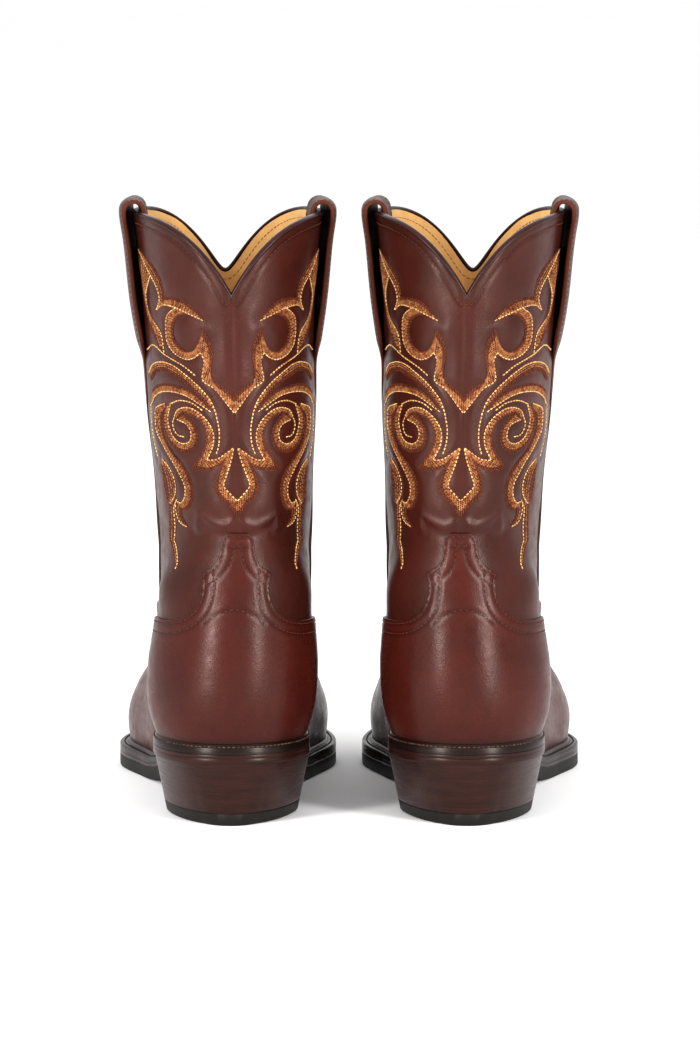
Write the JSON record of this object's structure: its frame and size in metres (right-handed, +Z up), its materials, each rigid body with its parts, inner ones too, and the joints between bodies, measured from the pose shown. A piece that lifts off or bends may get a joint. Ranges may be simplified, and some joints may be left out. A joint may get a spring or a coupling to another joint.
{
  "type": "cowboy boots",
  "caption": "Matched pair of leather western boots with V-notched shafts, embroidered panels, pull straps, stitched welt and stacked heel.",
  "frame": {"origin": "on the floor, midway between the two boots and midway along their length", "axes": "+X to the wearer's right, +Y from heel to toe, +Z up the shafts"},
  "size_m": [0.2376, 0.3032, 0.3055],
  "materials": {
    "vamp_leather": "smooth polished full-grain leather, dark reddish brown, burnished at the edges",
    "shaft_leather": "smooth full-grain leather, dark brown, semi-matte with a fine grain",
    "strap_leather": "smooth leather, dark brown, with raw tan edges",
    "trim_leather": "thin rolled leather trim, very dark brown, glossy",
    "lining_leather": "unfinished tan lining leather, matte",
    "stiffener_board": "stiff fibre board, matte",
    "insole_leather": "vegetable-tanned leather, matte",
    "spring_steel": "plain steel",
    "cork": "granulated cork, matte",
    "welt_leather": "waxed welt leather, near black, with a row of raised stitches",
    "sole_leather": "dyed sole leather, burnished brown edge",
    "outsole_rubber": "near-black rubber, satin",
    "heel_leather": "stacked leather, dyed dark brown, polished edge with fine layer lines",
    "cap_rubber": "near-black rubber, matte",
    "embroidery_thread": "rust, tan and cream polyester thread, soft sheen",
    "sewing_thread": "brown waxed sewing thread"
  },
  "bodies": {
    "root": {"left_back_lining": "lining_leather", "left_back_shaft_panel": "shaft_leather", "left_back_top_beading": "trim_leather", "left_cork_filler": "cork", "left_counter": "vamp_leather", "left_counter_stiffener": "stiffener_board", "left_front_shaft_lining": "lining_leather", "left_front_shaft_panel": "shaft_leather", "left_front_top_beading": "trim_leather", "left_heel_cap": "cap_rubber", "left_heel_lift_1": "heel_leather", "left_heel_lift_2": "heel_leather", "left_heel_lift_3": "heel_leather", "left_heel_lift_4": "heel_leather", "left_heel_nail_1": "spring_steel", "left_heel_nail_2": "spring_steel", "left_heel_nail_3": "spring_steel", "left_inner_pull_strap": "strap_leather", "left_inner_side_piping": "trim_leather", "left_insole": "insole_leather", "left_midsole": "sole_leather", "left_outer_pull_strap": "strap_leather", "left_outer_side_piping": "trim_leather", "left_outsole": "outsole_rubber", "left_shank": "spring_steel", "left_sock_liner": "lining_leather", "left_toe_box": "stiffener_board", "left_vamp": "vamp_leather", "left_vamp_lining": "lining_leather", "left_welt": "welt_leather", "right_back_lining": "lining_leather", "right_back_shaft_panel": "shaft_leather", "right_back_top_beading": "trim_leather", "right_cork_filler": "cork", "right_counter": "vamp_leather", "right_counter_stiffener": "stiffener_board", "right_front_shaft_lining": "lining_leather", "right_front_shaft_panel": "shaft_leather", "right_front_top_beading": "trim_leather", "right_heel_cap": "cap_rubber", "right_heel_lift_1": "heel_leather", "right_heel_lift_2": "heel_leather", "right_heel_lift_3": "heel_leather", "right_heel_lift_4": "heel_leather", "right_heel_nail_1": "spring_steel", "right_heel_nail_2": "spring_steel", "right_heel_nail_3": "spring_steel", "right_inner_pull_strap": "strap_leather", "right_inner_side_piping": "trim_leather", "right_insole": "insole_leather", "right_midsole": "sole_leather", "right_outer_pull_strap": "strap_leather", "right_outer_side_piping": "trim_leather", "right_outsole": "outsole_rubber", "right_shank": "spring_steel", "right_sock_liner": "lining_leather", "right_toe_box": "stiffener_board", "right_vamp": "vamp_leather", "right_vamp_lining": "lining_leather", "right_welt": "welt_leather"}
  },
  "joints": []
}
